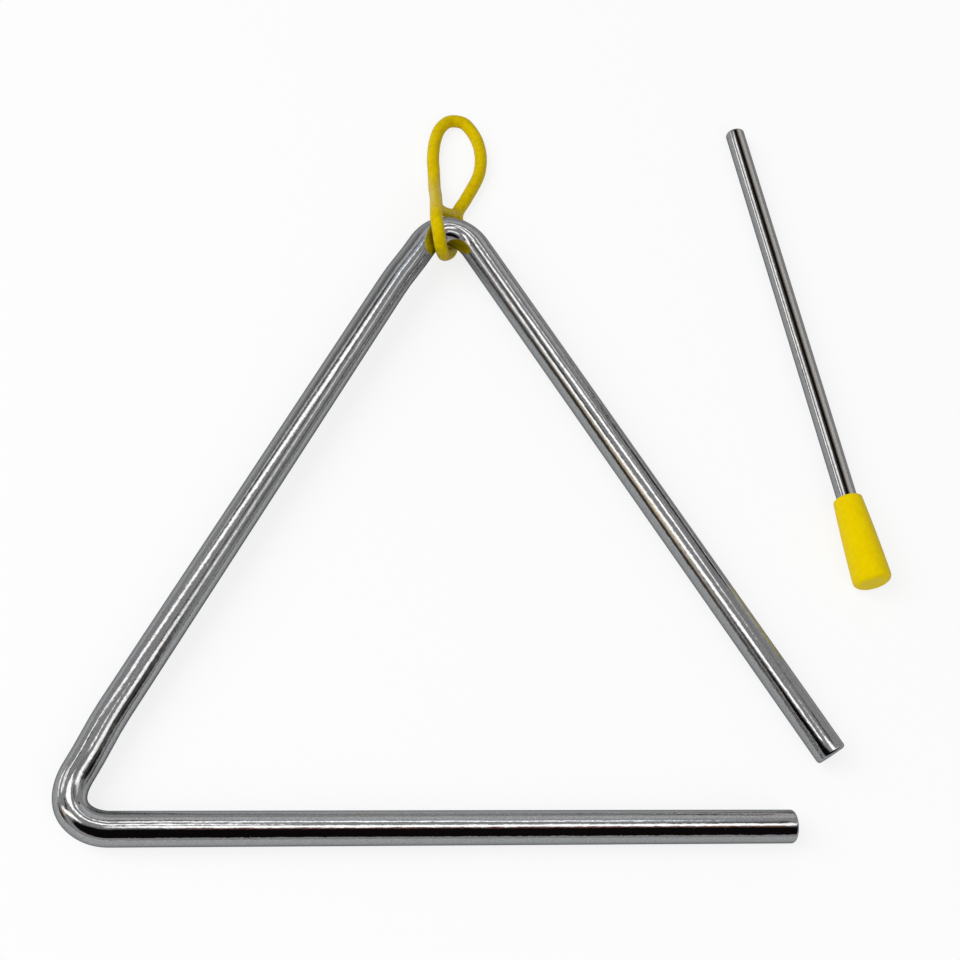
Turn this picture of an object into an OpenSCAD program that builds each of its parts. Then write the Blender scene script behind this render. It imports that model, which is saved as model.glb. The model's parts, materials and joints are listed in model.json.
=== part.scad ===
// Triangle, a small percussion instrument, lying flat with its beater beside it.
// A round steel bar is bent twice into a triangle that stays open at one corner.
// A moulded holder loop is threaded on the bar at the top bend, and the beater is
// a thinner steel rod pushed into a tapered grip.
// X runs along the bottom leg, Y up towards the top bend, Z up from the surface.

/* [Bar] */
// Side of the triangle, from corner to corner along the bar's centre line
side_l = 200; // [150:5:260]
// Diameter of the round bar
bar_d = 8; // [6:0.5:10]
// Radius on the inside of both bends
bend_inner_r = 5; // [4:0.5:10]
// Bottom leg, from its corner to its cut end
bottom_leg_l = 177; // [110:1:180]
// Right leg, from the top corner to its cut end
right_leg_l = 179.5; // [110:0.5:180]
// Rounding round the bar's two cut ends
bar_end_round = 0.8; // [0.2:0.1:1.5]

/* [Holder loop] */
// Diameter of the moulded strand
strand_d = 3.3; // [2.5:0.1:4]
// Play between the bar and the small ring that the strand makes round it
ring_play = 0.8; // [0.6:0.1:1.5]
// Where the ring sits on the top bend, in degrees round to the left of its middle
ring_seat_a = 14; // [8:1:18]
// How far the ring leans along the bar, from its middle to its top strand
ring_lean = 2.2; // [1:0.1:2.4]
// Reach of the finger loop, from the hinge line to the strand at its far end
finger_loop_l = 44; // [38:1:60]
// Width of the finger loop, between the middles of its strands
finger_loop_w = 14; // [12:0.5:20]
// How far the finger loop's left strand lies to the left of the bend's middle
finger_loop_left = 1.1; // [0.5:0.1:2.5]
// Thickness of the web that joins the two strands behind the bar
web_d = 2.2; // [1.8:0.1:3]

/* [Beater] */
// Whole length of the beater
beater_l = 148.5; // [120:0.5:200]
// Diameter of the beater's rod
rod_d = 5.5; // [4:0.5:7]
// Rounding round the rod's striking end
rod_end_round = 0.8; // [0.2:0.1:1.5]
// Length of the grip
grip_l = 25; // [22:1:60]
// Depth to which the rod is pushed into the grip
grip_socket_l = 18; // [12:1:20]
// Diameter of the grip at its mouth
grip_mouth_d = 7.8; // [7.5:0.1:9]
// Diameter of the grip at its closed end
grip_end_d = 10.4; // [9.6:0.1:14]
// Swell of the grip's side beyond a straight taper, at half length
grip_swell = 0.15; // [0:0.05:0.4]
// Rounding round the grip's mouth
grip_mouth_round = 0.6; // [0.2:0.1:0.7]
// Rounding round the grip's closed end
grip_end_round = 1; // [0.3:0.1:2]
// Radial clearance between the rod and the grip's socket
socket_play = 0.03; // [0.01:0.01:0.1]
// Middle of the grip's closed end, to the right of the triangle's middle line
beater_x = 108.8; // [105:0.1:160]
// Middle of the grip's closed end, above the bottom leg's centre line
beater_y = 64.1; // [30:0.1:80]
// Turn of the beater to the left of straight up
beater_turn = 6.7; // [0:0.1:10]

/* [Hidden] */

// Angle inside each of the triangle's corners
corner_a = 60;
bar_r = bar_d / 2;
strand_r = strand_d / 2;
rod_r = rod_d / 2;
// Overrun of a cut past the face that it opens
overrun = 0.5;
// Core inside the steel that ties a straight run to its bend, so that they are one solid
core_l = 2;
core_r = bar_r / 2;

// Bends of the bar, on its centre line
bend_r = bend_inner_r + bar_r;
bend_turn = 180 - corner_a;
// From a corner to where its bend starts, and to the middle of the bend
bend_tangent_l = bend_r / tan(corner_a / 2);
bend_crown_l = bend_r / sin(corner_a / 2) - bend_r;
top_corner_y = side_l * sin(corner_a);

// Hinge of the holder loop: the bar's centre line where the ring sits on the bend
hinge_x = -bend_r * sin(ring_seat_a);
hinge_bar_y = top_corner_y - bend_crown_l - bend_r + bend_r * cos(ring_seat_a);
// The ring's lower strand lies between the surface and the bar and lifts the top bend
ring_r = bar_r + ring_play + strand_r;
hinge_z = ring_r + strand_r;
bar_tilt = asin((hinge_z - bar_r) / hinge_bar_y);
hinge_y = hinge_bar_y * cos(bar_tilt);

// Radius of the grip's side at a distance from its mouth
function grip_r(u) =
    let (t = u / grip_l)
    grip_mouth_d / 2 + (grip_end_d - grip_mouth_d) / 2 * t + grip_swell * 4 * t * (1 - t);

// Circles round which the rims of the beater's two ends are rounded
grip_rim_r = grip_r(grip_l - grip_end_round) - grip_end_round;
rod_rim_r = rod_r - rod_end_round;

// Lean of the beater, which rests on those two rims
rim_run = beater_l - grip_end_round - rod_end_round;
rim_rise = grip_rim_r - rod_rim_r;
rim_step = grip_end_round - rod_end_round;
beater_lean = atan(rim_rise / rim_run)
    + asin(rim_step / sqrt(rim_run * rim_run + rim_rise * rim_rise));
// Direction from the striking end to the grip, and the striking end's middle
beater_axis = [
    cos(beater_lean) * sin(beater_turn),
    -cos(beater_lean) * cos(beater_turn),
    sin(beater_lean)
];
tip_x = beater_x - beater_l * beater_axis.x;
tip_y = beater_y - beater_l * beater_axis.y;
tip_z = rod_rim_r * cos(beater_lean) + rod_end_round - rod_end_round * beater_axis.z;

// Outermost points of the whole, whose middle stands over the origin
left_x = bend_tangent_l - side_l / 2 - bend_r - bar_r;
right_x = beater_x - grip_end_round * beater_axis.x + grip_end_round
    + grip_rim_r * sqrt(1 - beater_axis.x * beater_axis.x);
near_y = -bar_r;
tip_far_y = tip_y + rod_end_round * beater_axis.y + rod_end_round
    + rod_rim_r * sqrt(1 - beater_axis.y * beater_axis.y);
loop_far_y = hinge_y + finger_loop_l + strand_r;
far_y = max(tip_far_y, loop_far_y);
middle_x = (left_x + right_x) / 2;
middle_y = (near_y + far_y) / 2;

// Moves what is drawn from the bottom leg's corner frame to the part's own frame
module placed() {
    translate([-middle_x, -middle_y, 0]) children();
}

// A straight run of round bar along Z whose far end is cut off with a rounded rim
module rounded_run(l, r, rim) {
    rotate_extrude($fn = 96)
        union() {
            square([r - rim, l]);
            square([r, l - rim]);
            translate([r - rim, l - rim]) circle(r = rim, $fn = 48);
        }
}

// A bend of the bar in the XY plane, from the X axis round towards Y
module bar_bend() {
    rotate_extrude(angle = bend_turn, $fn = 96)
        translate([bend_r, 0])
            circle(r = bar_r, $fn = 96);
}

// The core across the plane where a straight run along X meets its bend
module core() {
    translate([-core_l / 2, 0, 0])
        rotate([0, 90, 0])
            cylinder(r = core_r, h = core_l, $fn = 96);
}

// A straight run along X from the bend behind it to its cut end
module leg(l) {
    rotate([0, 90, 0])
        rounded_run(l, bar_r, bar_end_round);
    core();
}

// The bar in its own plane, with the bottom leg on the X axis
module bent_bar() {
    closed_l = side_l - 2 * bend_tangent_l;
    bend_start_x = bend_tangent_l - side_l / 2;
    union() {
        // Bottom leg
        translate([bend_start_x, 0, 0])
            leg(bottom_leg_l - bend_tangent_l);
        // Left bend
        translate([bend_start_x, bend_r, 0])
            rotate([0, 0, 270 - bend_turn])
                bar_bend();
        // Left leg, between the two bends
        translate([-side_l / 2, 0, 0])
            rotate([0, 0, corner_a])
                translate([bend_tangent_l, 0, 0]) {
                    rotate([0, 90, 0])
                        cylinder(r = bar_r, h = closed_l, $fn = 96);
                    core();
                    translate([closed_l, 0, 0]) core();
                }
        // Top bend
        translate([0, top_corner_y - bend_crown_l - bend_r, 0])
            rotate([0, 0, 90 - bend_turn / 2])
                bar_bend();
        // Right leg
        translate([0, top_corner_y, 0])
            rotate([0, 0, -corner_a])
                translate([bend_tangent_l, 0, 0])
                    leg(right_leg_l - bend_tangent_l);
    }
}

module triangle_bar() {
    color([0.78, 0.79, 0.81])
        placed()
            translate([0, 0, bar_r])
                rotate([bar_tilt, 0, 0])
                    bent_bar();
}

// Steps of the smooth curve between two points of a strand, and sides of a strand
strand_steps = 3;
strand_sides = 12;

// The ring round the bar, every 30 degrees from behind and above the bar, over it,
// down its inner side and under it: places along the bar in shares of the ring's lean,
// and how far each stands off a true circle in shares of the ring's play, which keeps
// the leaning strands clear of the bend as the loop swings
ring_start_a = 60;
ring_step_a = 30;
ring_lean_shares = [-0.42, -0.95, -1.15, -1, -0.4, 0.35, 1.55, 2.5];
ring_off_shares = [0.2, 0.6, 1.1, 1, 0.1, -0.35, -0.1, 0];
ring_points = [
    for (i = [0 : len(ring_lean_shares) - 1])
        let (
            along = ring_lean_shares[i] * ring_lean,
            r = ring_r + ring_off_shares[i] * ring_play,
            out = r * cos(ring_start_a + i * ring_step_a),
            up = r * sin(ring_start_a + i * ring_step_a)
        )
        [
            hinge_x + along * cos(ring_seat_a) - out * sin(ring_seat_a),
            along * sin(ring_seat_a) + out * cos(ring_seat_a),
            up
        ]
];

// The strand that lies on the surface, from under the bar up the right side of the
// finger loop, round its far end and down its left side: shares of width and reach
lying_shares = [
    [0.43, 0.11], [0.42, 0.25], [0.605, 0.365], [0.77, 0.465], [0.91, 0.56],
    [0.98, 0.65], [1, 0.745], [0.955, 0.845], [0.85, 0.925], [0.71, 0.985],
    [0.53, 1], [0.35, 0.985], [0.185, 0.925], [0.085, 0.845], [0.03, 0.76],
    [0, 0.67], [0, 0.58]
];
lying_points = [
    for (s = lying_shares)
        [s[0] * finger_loop_w - finger_loop_left, s[1] * finger_loop_l, -ring_r]
];

// The strand that climbs from the surface to the top of the ring: shares of the way
// aside to the ring, of the loop's reach, and of the ring's height
climb_shares = [[0.05, 0.5, 0.03], [0.2, 0.4, 0.17], [0.4, 0.295, 0.42], [0.7, 0.18, 0.7]];
climb_points = [
    for (s = climb_shares)
        [
            -finger_loop_left + s[0] * (ring_points[0].x + finger_loop_left),
            s[1] * finger_loop_l,
            (2 * s[2] - 1) * ring_r
        ]
];
strand_points = concat(ring_points, lying_points, climb_points);

// The web runs from the strand behind the top of the ring down to the one on the surface
web_from = (climb_points[3] + ring_points[0]) / 2;
web_to = lying_points[1];
web_parts = 6;
// How much thicker the web is where it runs into the strands
web_flare_share = 0.4;

// A point between b and c on the smooth curve through a, b, c and d
function curve_point(a, b, c, d, t) =
    ((2 * b) + (c - a) * t + (2 * a - 5 * b + 4 * c - d) * t * t
        + (3 * b - a - 3 * c + d) * t * t * t) / 2;

// A closed smooth curve through all the points
function closed_curve(points, steps) =
    let (n = len(points))
    [
        for (i = [0 : n - 1], j = [0 : steps - 1])
            curve_point(
                points[(i + n - 1) % n], points[i], points[(i + 1) % n],
                points[(i + 2) % n], j / steps)
    ];

// The strand's centre line, which goes no lower than where the strand lies
strand_path = [
    for (p = closed_curve(strand_points, strand_steps)) [p.x, p.y, max(p.z, -ring_r)]
];

function unit(v) = v / norm(v);

// One ring of a tube: sides points round a centre, square to the direction along.
// No strand runs along this slanting direction, so the rings never twist
ring_reference = [1, 0, 1];
function tube_ring(centre, along, r, sides) =
    let (side = unit(cross(along, ring_reference)), up = unit(cross(side, along)))
    [
        for (k = [0 : sides - 1])
            centre + r * (cos(360 * k / sides) * side + sin(360 * k / sides) * up)
    ];

// Triangles between two neighbouring rings of a tube
function band_faces(a, b, sides) = [
    for (k = [0 : sides - 1])
        let (m = (k + 1) % sides)
        each [[a + k, b + m, b + k], [a + k, a + m, b + m]]
];

module closed_tube(path, r, sides) {
    n = len(path);
    points = [
        for (i = [0 : n - 1])
            each tube_ring(path[i], path[(i + 1) % n] - path[(i + n - 1) % n], r, sides)
    ];
    faces = [
        for (i = [0 : n - 1])
            each band_faces(i * sides, ((i + 1) % n) * sides, sides)
    ];
    polyhedron(points, faces);
}

// A straight tube whose radii are given ring by ring, closed at both ends
module flared_tube(from, to, radii, sides) {
    n = len(radii);
    points = [
        for (i = [0 : n - 1])
            each tube_ring(from + (to - from) * i / (n - 1), to - from, radii[i], sides)
    ];
    faces = concat(
        [for (i = [0 : n - 2]) each band_faces(i * sides, (i + 1) * sides, sides)],
        [for (k = [1 : sides - 2]) [0, k + 1, k]],
        [for (k = [1 : sides - 2]) [(n - 1) * sides, (n - 1) * sides + k, (n - 1) * sides + k + 1]]
    );
    polyhedron(points, faces);
}

module holder_loop() {
    web_radii = [
        for (i = [0 : web_parts])
            let (t = 2 * i / web_parts - 1)
            web_d / 2 * (1 + web_flare_share * t * t)
    ];
    color([0.86, 0.76, 0.06])
        placed()
            translate([0, hinge_y, hinge_z])
                union() {
                    closed_tube(strand_path, strand_r, strand_sides);
                    flared_tube(web_from, web_to, web_radii, strand_sides);
                }
}

// Stands a piece drawn along Z, with the striking end at zero, where the beater lies
module lying_beater() {
    placed()
        translate([tip_x, tip_y, tip_z])
            rotate([0, 90 - beater_lean, beater_turn - 90])
                children();
}

module beater_rod() {
    rod_l = beater_l - grip_l + grip_socket_l;
    color([0.78, 0.79, 0.81])
        lying_beater()
            translate([0, 0, rod_l])
                mirror([0, 0, 1])
                    rounded_run(rod_l, rod_r, rod_end_round);
}

// Half outline of the grip, from its mouth at zero to its closed end
grip_arc_steps = 6;
grip_side_steps = 12;
grip_mouth_rim_r = grip_r(grip_mouth_round) - grip_mouth_round;
grip_side_l = grip_l - grip_mouth_round - grip_end_round;
grip_outline = concat(
    [[0, 0]],
    [
        for (i = [0 : grip_arc_steps])
            let (a = 90 * i / grip_arc_steps)
            [
                grip_mouth_rim_r + grip_mouth_round * sin(a),
                grip_mouth_round * (1 - cos(a))
            ]
    ],
    [
        for (i = [1 : grip_side_steps - 1])
            let (u = grip_mouth_round + grip_side_l * i / grip_side_steps)
            [grip_r(u), u]
    ],
    [
        for (i = [0 : grip_arc_steps])
            let (a = 90 * i / grip_arc_steps)
            [
                grip_rim_r + grip_end_round * cos(a),
                grip_l - grip_end_round * (1 - sin(a))
            ]
    ],
    [[0, grip_l]]
);

module beater_grip() {
    color([0.9, 0.8, 0.03])
        lying_beater()
            translate([0, 0, beater_l - grip_l])
                difference() {
                    rotate_extrude($fn = 96) polygon(grip_outline);
                    translate([0, 0, -overrun])
                        cylinder(r = rod_r + socket_play, h = grip_socket_l + overrun, $fn = 96);
                }
}

triangle_bar();
holder_loop();
beater_rod();
beater_grip();
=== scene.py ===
# %% [markdown]
# # A triangle and its beater
#
# A triangle, the small percussion instrument, lies on a white studio table.
#
# Four pieces make it: a chrome-plated steel bar bent into an open triangle, a
# yellow vinyl loop to hold it by, and a beater, which is a thinner plated rod in
# a tapered yellow grip. This notebook dresses a finished model of those pieces.
# Each cell first says what the real thing is, then how it is made here.

import json
import math

import bmesh
import bpy
import numpy as np
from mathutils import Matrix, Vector


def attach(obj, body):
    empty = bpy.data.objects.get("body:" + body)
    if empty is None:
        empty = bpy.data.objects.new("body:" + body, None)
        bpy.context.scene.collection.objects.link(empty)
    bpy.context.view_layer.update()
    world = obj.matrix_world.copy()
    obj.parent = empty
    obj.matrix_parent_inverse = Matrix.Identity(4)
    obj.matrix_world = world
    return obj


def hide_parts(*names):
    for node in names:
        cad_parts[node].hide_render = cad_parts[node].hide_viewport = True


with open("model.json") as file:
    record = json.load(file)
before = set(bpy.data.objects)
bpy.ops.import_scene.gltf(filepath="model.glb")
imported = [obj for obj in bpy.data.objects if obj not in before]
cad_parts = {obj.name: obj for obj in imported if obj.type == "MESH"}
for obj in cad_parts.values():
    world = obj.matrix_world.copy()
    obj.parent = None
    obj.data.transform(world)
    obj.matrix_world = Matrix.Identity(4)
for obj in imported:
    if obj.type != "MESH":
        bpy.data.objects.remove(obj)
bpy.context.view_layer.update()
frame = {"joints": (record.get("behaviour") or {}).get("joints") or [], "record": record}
record = frame["record"]

# %% [markdown]
# ## Units, and the places that are already fixed
#
# A maker thinks in millimetres, while the scene is in metres, so every size
# below is written in millimetres and turned over by one value. The mounts in the
# record say where the bar's legs lie, so the pieces made here start from them.

# %% Units and the frame's own places
MM = 0.001
mounts = {m["name"]: m for m in record["mounts"]}
swing = next(j for j in frame["joints"] if j["name"] == "holder_swing")


def mount_line(name):
    """A point on a mount's axis, and the direction of the axis."""
    return np.array(mounts[name]["pos_m"]), np.array(mounts[name]["axis"], float)


def unit(v):
    return np.asarray(v, float) / np.linalg.norm(v)


bar_r = mounts["bottom_leg_end"]["dims"]["r_mm"] * MM
print(f"bar: {2 * bar_r / MM:.1f} mm thick")

# %% [markdown]
# ## A tube along a path
#
# The bar, the rod and the loop are all round in section, so one helper sweeps a
# ring of points along a path. Blender's own curves could do it too, with a bevel,
# but a mesh made here can also carry, at each point, where it lies on the piece
# laid out straight. A pattern such as draw lines then follows the bar round its
# bends with no seam, which no texture placed in the room could do.
#
# First the directions: each ring needs two ways across the path. Taken afresh at
# each point they would jump in a bend, so each pair is carried on from the last.

# %% Directions across a path
# No path here starts along this direction, so it can give each one its first side
first_side = (0.13, 0.0, 1.0)


def turned_frames(points, closed=False):
    """At each point, the way along and two ways across, which never twist round the path."""
    count = len(points)
    side = None
    frames = []
    for i in range(count):
        after = points[(i + 1) % count if closed else min(i + 1, count - 1)]
        before = points[(i - 1) % count if closed else max(i - 1, 0)]
        along = unit(after - before)
        if side is None:
            side = unit(np.cross(along, first_side))
        side = unit(side - along * np.dot(side, along))
        frames.append((along, side, np.cross(along, side)))
    return frames


arch = [np.array([math.cos(a), math.sin(a), 0.0]) for a in np.linspace(0.0, math.pi, 9)]
arch_ways = [along.round(2) for along, _, _ in turned_frames(arch)]
print("an arch starts along", arch_ways[0], "and ends along", arch_ways[-1])

# %% [markdown]
# A form swept or turned is a row of rings with faces between them, so three small
# helpers serve every piece: one puts a mesh into the scene, one does that for a
# mesh that was just built, with smooth shading, and one fills in between two
# rings. A ring of a single point is the middle of an end, and gets triangles.

# %% Helpers for meshes


def new_piece(name, data):
    """Puts a mesh into the scene as an object."""
    piece = bpy.data.objects.new(name, data)
    bpy.context.scene.collection.objects.link(piece)
    return piece


def built_piece(name, mesh):
    """Turns a finished bmesh into a smooth piece in the scene."""
    data = bpy.data.meshes.new(name)
    mesh.to_mesh(data)
    mesh.free()
    data.shade_smooth()
    return new_piece(name, data)


def bridge(mesh, a, b, sides):
    """Faces between two rings, either of which may be a single point."""
    for k in range(sides):
        m = (k + 1) % sides
        corners = (a[k % len(a)], a[m % len(a)], b[m % len(b)], b[k % len(b)])
        mesh.faces.new(dict.fromkeys(corners))


# %% Sweep a ring along a path


def tube(name, points, radii, sides, closed=False):
    """A round tube. The attribute laid_out holds each point's place on it when straight."""
    points = [np.asarray(p, float) for p in points]
    frames = turned_frames(points, closed)
    steps = [np.linalg.norm(b - a) for a, b in zip(points, points[1:])]
    run = np.concatenate([[0.0], np.cumsum(steps)])
    mesh = bmesh.new()
    laid_out = []
    rings = []
    for point, (_, side, up), radius, s in zip(points, frames, radii, run):
        ring = []
        for k in range(sides):
            angle = 2 * math.pi * k / sides
            across = math.cos(angle) * side + math.sin(angle) * up
            ring.append(mesh.verts.new(point + radius * across))
            laid_out.append((radius * math.cos(angle), radius * math.sin(angle), s))
        rings.append(ring)
    for a, b in zip(rings, rings[1:]):
        bridge(mesh, a, b, sides)
    if closed:
        # Carried once round, the directions come back turned, so the first ring is turned to fit
        side, up = frames[-1][1], frames[-1][2]
        turn = math.atan2(np.dot(frames[0][1], up), np.dot(frames[0][1], side))
        shift = round(turn / (2 * math.pi) * sides)
        bridge(mesh, rings[-1], [rings[0][(k - shift) % sides] for k in range(sides)], sides)
    else:
        ends = (rings[0], rings[-1])
        middles = [[mesh.verts.new(sum((v.co for v in end), Vector()) / sides)] for end in ends]
        laid_out += [(0.0, 0.0, run[0]), (0.0, 0.0, run[-1])]
        bridge(mesh, middles[0], rings[0], sides)
        bridge(mesh, rings[-1], middles[1], sides)
    piece = built_piece(name, mesh)
    place = piece.data.attributes.new("laid_out", "FLOAT_VECTOR", "POINT")
    place.data.foreach_set("vector", np.array(laid_out, np.float32).ravel())
    return piece


# %% [markdown]
# A cut end is never quite sharp: tumbling or filing takes its rim off. The path
# therefore ends in a few extra rings that close in on a quarter circle. A bevel
# modifier would do it too, but here the rings come out evenly spaced.

# %% Rounded ends
rim_steps = 6
# The last ring stands a hair proud, by a share of the rim, and well inside it
face_rise = 0.02
face_ring = 0.55


def rounded_end(at, along, radius, rim, steps=rim_steps):
    """Points and radii of a cut end whose rim is rounded, from the wall to the face."""
    points = []
    radii = []
    for i in range(1, steps + 1):
        angle = math.pi / 2 * i / steps
        points.append(at - along * rim * (1 - math.sin(angle)))
        radii.append(radius - rim * (1 - math.cos(angle)))
    points.append(at + along * rim * face_rise)
    radii.append((radius - rim) * face_ring)
    return points, radii


cut_rim = 0.8 * MM
_, cut_radii = rounded_end(np.zeros(3), np.array([1.0, 0.0, 0.0]), bar_r, cut_rim)
print("radii round a cut end:", [round(r / MM, 2) for r in cut_radii], "mm")

# %% [markdown]
# ## Materials: shared helpers
#
# A material is a small network of nodes. One function adds a node, sets its
# values and wires its inputs, so that each material below reads as a list of what
# is done to the surface. Colours are written as sRGB hex, as a paint shop or a
# web page has them, and turned to the linear values that the shader works in.

# %% Colours


def linear(hex_colour):
    """An sRGB hex colour as linear red, green, blue and alpha."""
    values = [int(hex_colour[i : i + 2], 16) / 255 for i in (1, 3, 5)]
    return tuple(
        v / 12.92 if v <= 0.04045 else ((v + 0.055) / 1.055) ** 2.4 for v in values
    ) + (1.0,)


print(f"half-way grey #808080 gives back {linear('#808080')[0]:.2f} of the light")

# %% Nodes


def new_material(name):
    """An empty node material and its tree."""
    material = bpy.data.materials.new(name)
    material.use_nodes = True
    material.node_tree.nodes.clear()
    return material, material.node_tree


def add(tree, kind, settings=None, **inputs):
    """Adds a node. An input is a value or another node's socket; _0 is the first by number."""
    node = tree.nodes.new(kind)
    for key, value in (settings or {}).items():
        setattr(node, key, value)
    for key, value in inputs.items():
        key = int(key[1:]) if key[0] == "_" else key.replace("_", " ")
        if isinstance(value, bpy.types.NodeSocket):
            tree.links.new(value, node.inputs[key])
        else:
            node.inputs[key].default_value = value
    return node


def ramp(tree, factor, stops):
    """A colour ramp from pairs of a position and a colour."""
    node = add(tree, "ShaderNodeValToRGB", _0=factor)
    elements = node.color_ramp.elements
    while len(elements) < len(stops):
        elements.new(0.5)
    for element, (position, colour) in zip(elements, stops):
        element.position = position
        element.color = colour
    return node.outputs["Color"]


def finish_material(material, shader):
    add(material.node_tree, "ShaderNodeOutputMaterial", Surface=shader.outputs[0])
    print(f"{material.name}: {len(material.node_tree.nodes)} nodes")


# %% [markdown]
# ## Chrome plate over drawn steel
#
# Bright chrome is a metal mirror with a faintly cool tint. The bar under it was
# pulled through a die, which leaves hair-fine lines along it, and the plating
# bath adds a slight waviness. Neither shows as a colour: they only bend what the
# mirror shows, so the white bands on the bar get their soft, uneven edges. A few
# tiny pits, and plating that is cloudy by a few parts in a hundred, keep the
# mirror from looking computed.
#
# Scales, from the real thing: draw lines 0.25 mm apart and some 8 mm long,
# waviness 3 mm round the bar and 12 mm along it, orange peel 0.6 mm, a pit of
# 0.4 mm every 2.6 mm, clouding 0.4 mm. The waves are two hundredths of a
# millimetre high. Higher ones make the bands look wobbly, as on cheap foil.

# %% Sizes and tones of the plate
draw_line_mm = 0.25
peel_mm = 0.6
wave_mm = 3.0
pit_apart_mm = 2.6
pit_depth_mm = 0.012
# Where a pit's floor ends and where its rim does, as shares of the distance between pits
pit_floor = 0.045
pit_rim = 0.09
cloud_mm = 0.4
dull_plate = "#B4B6B8"
mean_plate = "#C0C2C4"
bright_plate = "#CBCDCF"
edge_tint = "#B4B6B9"
smooth_roughness = 0.03
line_roughness = 0.075

# %% Unevenness in layers


def uneven(tree, at, layers):
    """Layers of bumps: size round the bar, times longer along it, height. Coarse ones first."""
    normal = {}
    for size_mm, longer, height_mm in layers:
        drawn_out = add(tree, "ShaderNodeMapping", Vector=at, Scale=(1, 1, 1 / longer))
        pattern = add(
            tree,
            "ShaderNodeTexNoise",
            Vector=drawn_out.outputs[0],
            Scale=1 / (size_mm * MM),
            Detail=1.5,
        )
        bump = add(
            tree,
            "ShaderNodeBump",
            Height=pattern.outputs["Fac"],
            Distance=height_mm * MM,
            Strength=1.0,
            **normal,
        )
        normal = {"Normal": bump.outputs[0]}
    return pattern.outputs["Fac"], bump.outputs[0]


def pitted(tree, at, normal):
    """Sparse round pits: the middles of scattered cells."""
    cells = add(tree, "ShaderNodeTexVoronoi", Vector=at, Scale=1 / (pit_apart_mm * MM))
    stops = ((pit_floor, (1, 1, 1, 1)), (pit_rim, (0, 0, 0, 1)))
    pits = add(
        tree,
        "ShaderNodeBump",
        {"invert": True},
        Height=ramp(tree, cells.outputs["Distance"], stops),
        Distance=pit_depth_mm * MM,
        Strength=0.6,
        Normal=normal,
    )
    return pits.outputs[0]


# %% Chrome material


def bright_chrome(name, wave_height_mm, peel_height_mm, line_height_mm):
    """Chrome plate over drawn steel, for a tube that carries the attribute laid_out."""
    material, tree = new_material(name)
    at = add(tree, "ShaderNodeAttribute", {"attribute_name": "laid_out"}).outputs["Vector"]
    layers = (
        (wave_mm, 4, wave_height_mm),
        (peel_mm, 2.5, peel_height_mm),
        (draw_line_mm, 30, line_height_mm),
    )
    lines, normal = uneven(tree, at, layers)
    # The plate is a little duller along some of the draw lines
    rough = add(
        tree,
        "ShaderNodeMapRange",
        Value=lines,
        From_Min=0.3,
        From_Max=0.75,
        To_Min=smooth_roughness,
        To_Max=line_roughness,
    )
    cloud = add(tree, "ShaderNodeTexNoise", Vector=at, Scale=1 / (cloud_mm * MM), Detail=2.0)
    tones = ((0.36, linear(dull_plate)), (0.64, linear(bright_plate)))
    metal = add(
        tree,
        "ShaderNodeBsdfPrincipled",
        Base_Color=ramp(tree, cloud.outputs["Fac"], tones),
        Metallic=1.0,
        Roughness=rough.outputs["Result"],
        Specular_Tint=linear(edge_tint),
        Normal=pitted(tree, at, normal),
    )
    finish_material(material, metal)
    return material


bar_chrome = bright_chrome("bar_chrome", 0.02, 0.018, 0.003)
rod_chrome = bright_chrome("rod_chrome", 0.015, 0.012, 0.003)

# %% [markdown]
# ## The bar
#
# One steel bar, bent twice in a jig and left open at the third corner. Its path
# is three straight runs and two arcs, which meet the runs smoothly, so the path
# is written the same way. The open legs' axes come from the frame, and the open
# corner is where they would cross. One side back from it, along each leg, lie the
# other two corners, which the left leg joins.

# %% Corners of the bar
side_l = 200.0 * MM
bottom_leg_l = 177.0 * MM
right_leg_l = 179.5 * MM
bend_r = 9.0 * MM
corner_angle = math.pi / 3
tangent_l = bend_r / math.tan(corner_angle / 2)

bottom_at, bottom_dir = mount_line("bottom_leg_end")
right_at, right_dir = mount_line("right_leg_end")
plane_normal = unit(np.cross(right_dir, bottom_dir))
up_dir = unit(np.cross(plane_normal, bottom_dir))
left_dir = bottom_dir * math.cos(corner_angle) + up_dir * math.sin(corner_angle)
reach = -np.dot(right_at - bottom_at, up_dir) / np.dot(right_dir, up_dir)
open_corner = right_at + reach * right_dir
left_corner = open_corner - side_l * bottom_dir
top_corner = open_corner - side_l * right_dir
bottom_end = left_corner + bottom_leg_l * bottom_dir
right_end = top_corner + right_leg_l * right_dir
print("corners:", left_corner.round(4), top_corner.round(4), open_corner.round(4))

# %% Straight runs and true arcs
leg_step = 4.0 * MM
bend_steps = 36


def straight(a, b):
    """Points along a straight run, without its last one."""
    count = max(2, int(np.linalg.norm(b - a) / leg_step))
    return [a + (b - a) * i / count for i in range(count)]


def arc(corner, come, go):
    """Points round a bend from the direction come to the direction go."""
    start = corner - come * tangent_l
    centre = start + bend_r * unit(go - come * np.dot(go, come))
    spoke = start - centre
    turn = math.acos(np.clip(np.dot(come, go), -1, 1))
    return [
        centre
        + spoke * math.cos(turn * i / bend_steps)
        + come * bend_r * math.sin(turn * i / bend_steps)
        for i in range(bend_steps)
    ]


bottom_wall_end = bottom_end - cut_rim * bottom_dir
right_wall_end = right_end - cut_rim * right_dir
runs = (
    straight(bottom_wall_end, left_corner + tangent_l * bottom_dir),
    arc(left_corner, -bottom_dir, left_dir),
    straight(left_corner + tangent_l * left_dir, top_corner - tangent_l * left_dir),
    arc(top_corner, left_dir, right_dir),
    straight(top_corner + tangent_l * right_dir, right_wall_end) + [right_wall_end],
)
print("points in each run and bend:", [len(run) for run in runs])

# %% [markdown]
# No jig bends a bar in a true arc. This one starts each bend early on the left
# leg's side, so the leg's shoulder lies inside the arc, and it pulls the middle
# of the bend out towards the corner and thins it a little. A lattice could press
# the mesh like that, but two smooth humps, added to the path itself, can be
# written in millimetres and keep the section round.

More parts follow.
